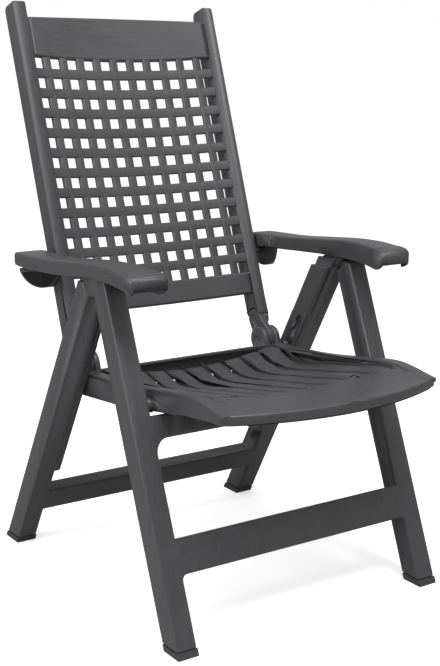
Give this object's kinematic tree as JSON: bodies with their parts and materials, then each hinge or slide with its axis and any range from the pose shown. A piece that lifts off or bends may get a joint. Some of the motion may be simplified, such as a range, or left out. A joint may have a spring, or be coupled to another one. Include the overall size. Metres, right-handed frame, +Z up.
{
  "type": "reclining folding garden armchair",
  "caption": "High-backed folding garden armchair in moulded resin with a pierced lattice backrest that reclines, a dished slatted seat, crossed legs and liftable armrests.",
  "frame": {"origin": "centre of the footprint box, on the floor", "axes": "+Z up, -Y the way the sitter faces, +X the sitter's left"},
  "size_m": [0.624, 0.8302, 1.0931],
  "materials": {
    "resin": "matt anthracite moulded resin with a faint brushed grain",
    "guard": "matt anthracite moulded resin",
    "pin": "smooth dark resin",
    "glide": "dark resin foot cap"
  },
  "bodies": {
    "front_frame": {"front_leg_frame": "resin", "front_glide_left": "glide", "front_glide_right": "glide", "hub_pin_left": "pin", "hub_pin_right": "pin"},
    "rear_frame": {"rear_leg_frame": "resin", "rear_glide_left": "glide", "rear_glide_right": "glide"},
    "seat": {"seat": "resin", "seat_pivot_pin_left": "pin", "seat_pivot_pin_right": "pin", "seat_lock_pin_left": "pin", "seat_lock_pin_right": "pin"},
    "back_hinge": {"back_link_left": "resin", "back_link_right": "resin", "back_hinge_pin_left": "pin", "back_hinge_pin_right": "pin", "recline_pin_left": "pin", "recline_pin_right": "pin"},
    "backrest": {"backrest": "resin", "recline_peg_left": "pin", "recline_peg_right": "pin"},
    "armrest_left": {"armrest_left": "resin", "arm_guard_left": "guard", "arm_pivot_pin_left": "pin"},
    "armrest_right": {"armrest_right": "resin", "arm_guard_right": "guard", "arm_pivot_pin_right": "pin"}
  },
  "joints": [
    {"name": "fold", "type": "hinge", "parent": "front_frame", "child": "seat", "pos_m": [0, -0.14783, 0.395], "axis": [-1, 0, 0], "range_deg": [0, 84]},
    {"name": "rear_swing", "type": "hinge", "parent": "front_frame", "child": "rear_frame", "pos_m": [0, -0.04113, 0.603], "axis": [-1, 0, 0], "range_deg": [0, 42]},
    {"name": "back_turn", "type": "hinge", "parent": "seat", "child": "back_hinge", "pos_m": [0, 0.12587, 0.405], "axis": [-1, 0, 0], "range_deg": [-84, 0]},
    {"name": "recline", "type": "hinge", "parent": "back_hinge", "child": "backrest", "pos_m": [0, 0.15958, 0.44236], "axis": [-1, 0, 0], "range_deg": [-10, 10]},
    {"name": "arm_lift_left", "type": "hinge", "parent": "front_frame", "child": "armrest_left", "pos_m": [0, -0.05813, 0.623], "axis": [1, 0, 0], "range_deg": [0, 45]},
    {"name": "arm_lift_right", "type": "hinge", "parent": "front_frame", "child": "armrest_right", "pos_m": [0, -0.05813, 0.623], "axis": [1, 0, 0], "range_deg": [0, 45]}
  ],
  "couplings": [
    {"joint": "rear_swing", "follows": "fold", "ratio": 0.5},
    {"joint": "back_turn", "follows": "fold", "ratio": -1}
  ]
}
